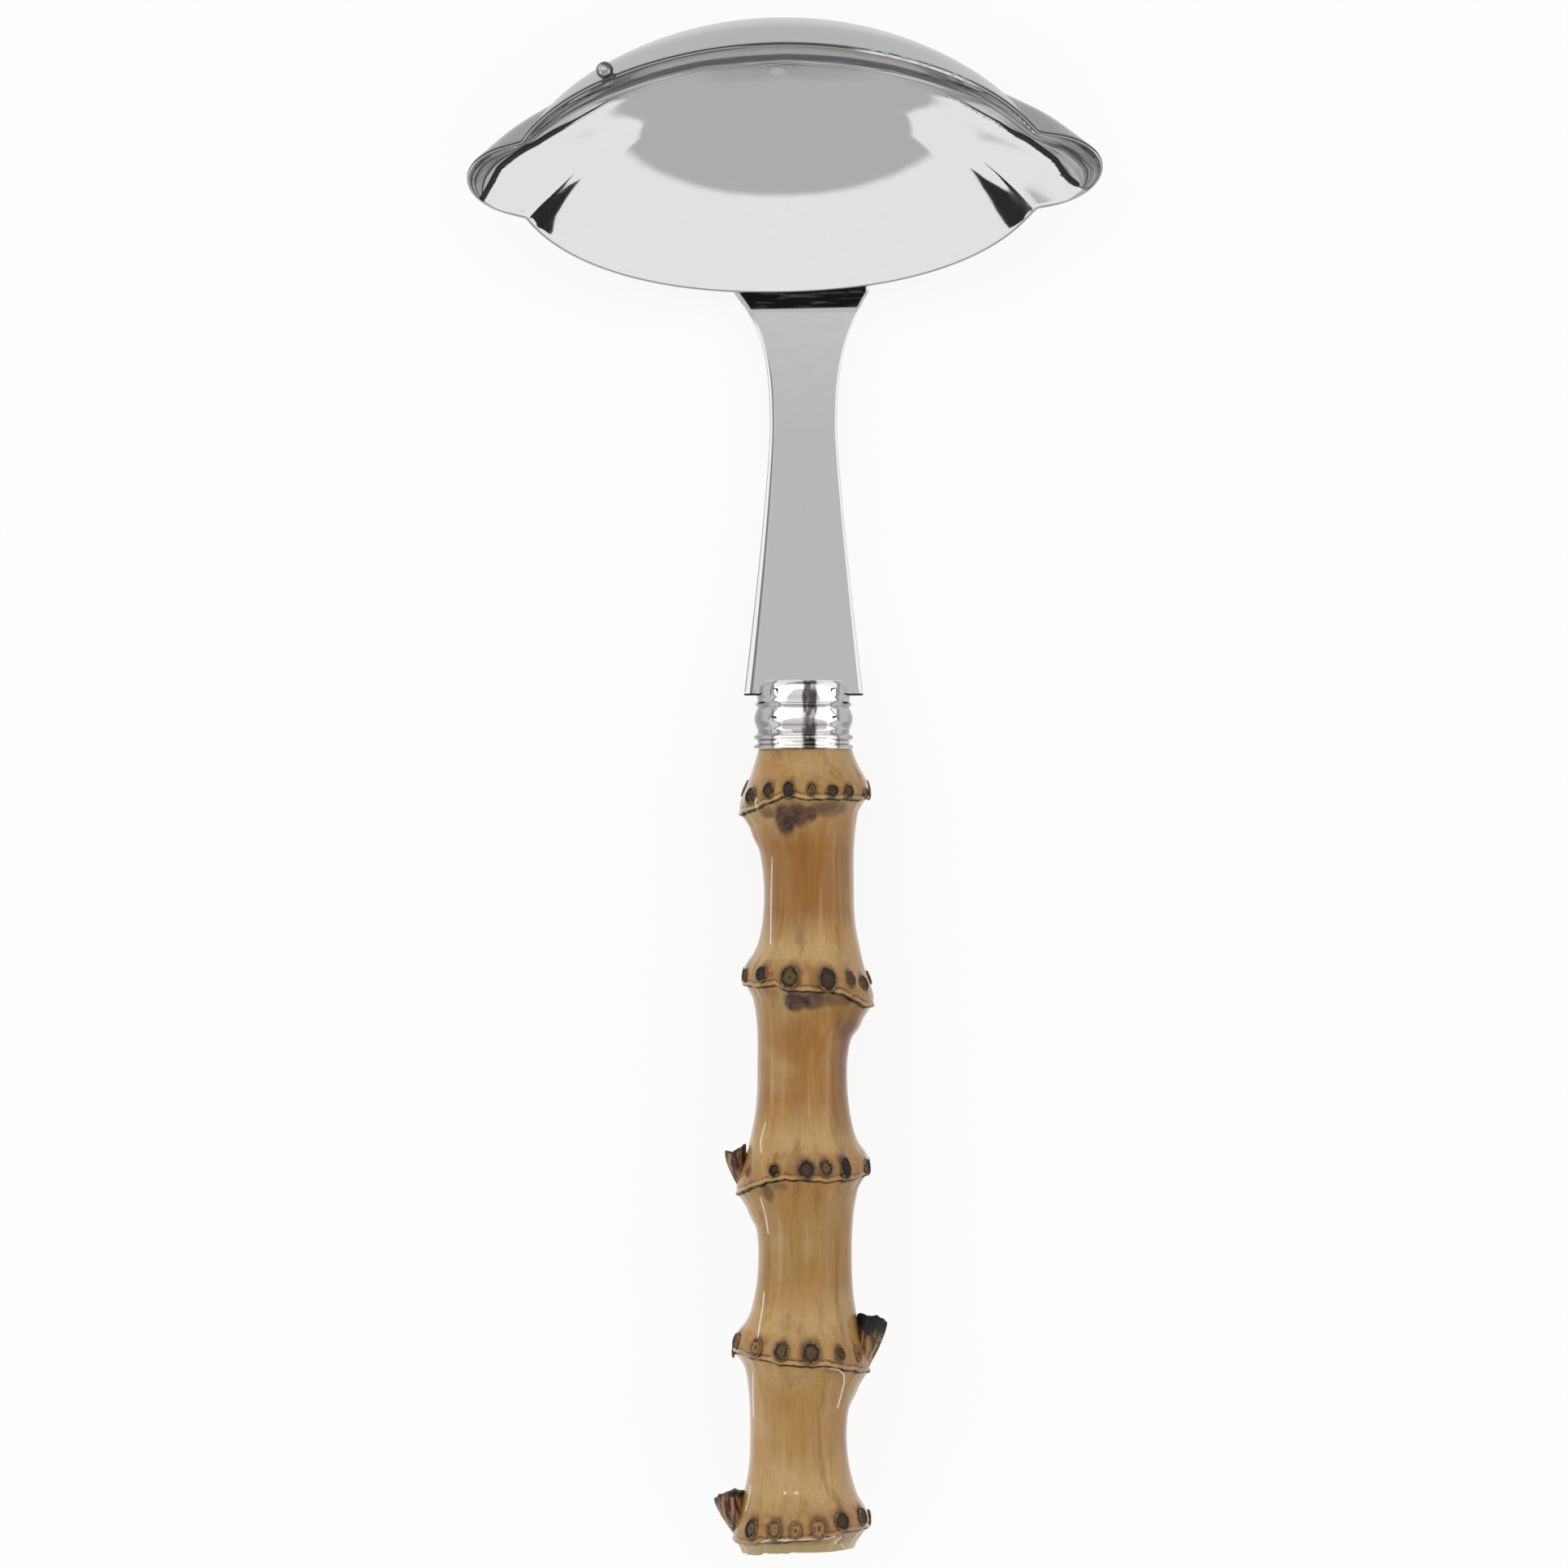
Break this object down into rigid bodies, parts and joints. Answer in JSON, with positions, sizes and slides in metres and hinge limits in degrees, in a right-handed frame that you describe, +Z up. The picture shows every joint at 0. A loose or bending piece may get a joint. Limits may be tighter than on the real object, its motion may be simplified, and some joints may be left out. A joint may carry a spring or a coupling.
{
  "type": "gravy ladle",
  "caption": "Steel gravy ladle with a two-lipped oval bowl, a flat flared stem, a ribbed ferrule and a knotted bamboo root handle.",
  "frame": {"origin": "middle of the footprint on the table the ladle lies on", "axes": "+Y from the cut end of the handle to the bowl, +Z up out of the table, +X to the right seen from above; the ladle lies on its back, on the bowl and the knot next to the ferrule, so its handle rises towards the cut end"},
  "size_m": [0.0822, 0.1998, 0.0308],
  "materials": {
    "bowl_steel": "mirror polished stainless steel",
    "bead_steel": "polished stainless steel",
    "stem_steel": "polished stainless steel",
    "ferrule_steel": "polished, turned ribs",
    "tang_steel": "plain drawn rod, hidden",
    "resin": "cast filler, hidden",
    "bamboo": "natural bamboo root under clear gloss varnish"
  },
  "bodies": {
    "root": {"bowl": "bowl_steel", "bowl_bead": "bead_steel", "stem": "stem_steel", "ferrule": "ferrule_steel", "tang": "tang_steel", "tang_resin": "resin", "bamboo_handle": "bamboo"}
  },
  "joints": []
}
